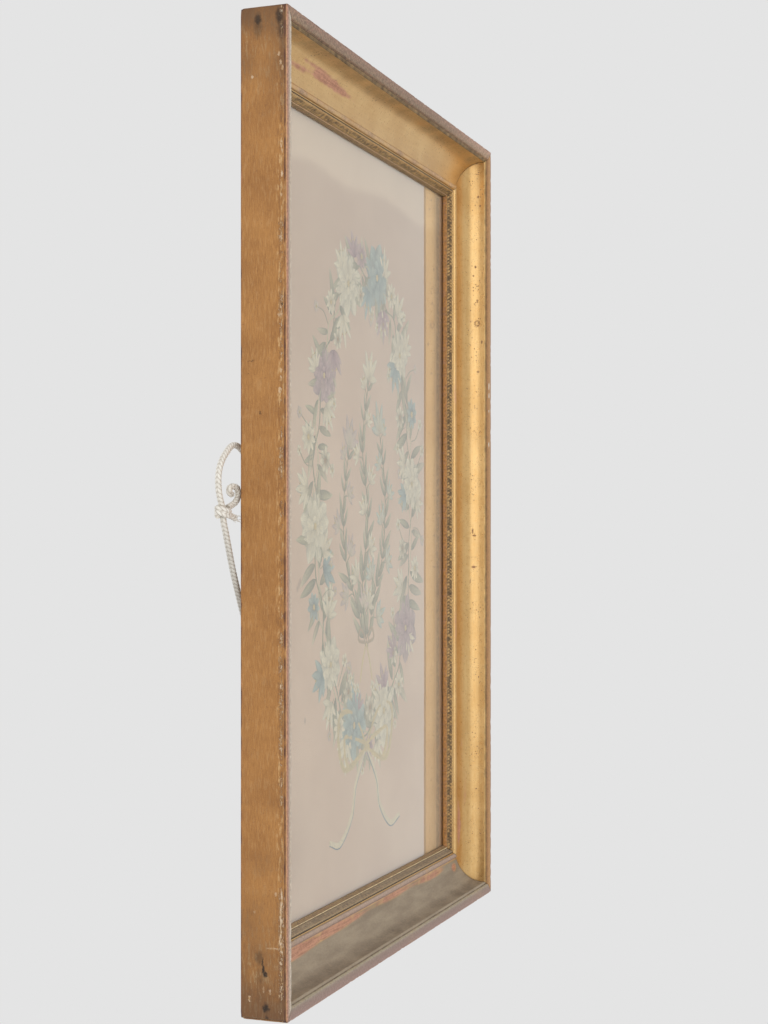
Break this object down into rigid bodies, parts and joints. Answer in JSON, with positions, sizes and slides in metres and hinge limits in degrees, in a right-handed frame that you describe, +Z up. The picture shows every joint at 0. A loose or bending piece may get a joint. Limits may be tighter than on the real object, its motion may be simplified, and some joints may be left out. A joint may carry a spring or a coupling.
{
  "type": "framed embroidered silk picture",
  "caption": "Upright embroidered silk panel behind glass in a gilded cove frame with a narrow ornamented inner moulding, a plain backboard and a slack braided hanging cord.",
  "frame": {"origin": "on the back plane of the wooden frame, at mid-width, 13 mm below the top edge, where a wall hook takes the top rail", "axes": "+X to the right seen from the front, +Y back towards the wall, +Z up; the picture faces -Y"},
  "size_m": [0.4835, 0.0437, 0.65],
  "materials": {
    "gilt": "worn water gilding over red bole and gesso on pine, matt ochre on the sides",
    "gilt_ornament": "gilded pressed ornament, dark in its recesses, with a brighter fillet",
    "glass": "clear thin pane, polished",
    "silk": "taupe silk with raised silk stitches in cream, mauve, sage and powder blue",
    "board": "aged bare softwood board",
    "eye": "dull aged brass wire",
    "cord": "white braided cotton, slightly soiled, frayed at its ends"
  },
  "bodies": {
    "root": {"rail_top": "gilt", "rail_bottom": "gilt", "rail_left": "gilt", "rail_right": "gilt", "inner_top": "gilt_ornament", "inner_bottom": "gilt_ornament", "inner_left": "gilt_ornament", "inner_right": "gilt_ornament", "glass_pane": "glass", "tapestry": "silk", "backboard": "board", "screw_eye_left": "eye", "screw_eye_right": "eye", "cord_bow": "cord", "cord_slack": "cord", "cord_knot": "cord", "cord_knot_left": "cord", "cord_knot_right": "cord", "cord_curl": "cord", "cord_cut_end": "cord"}
  },
  "joints": []
}
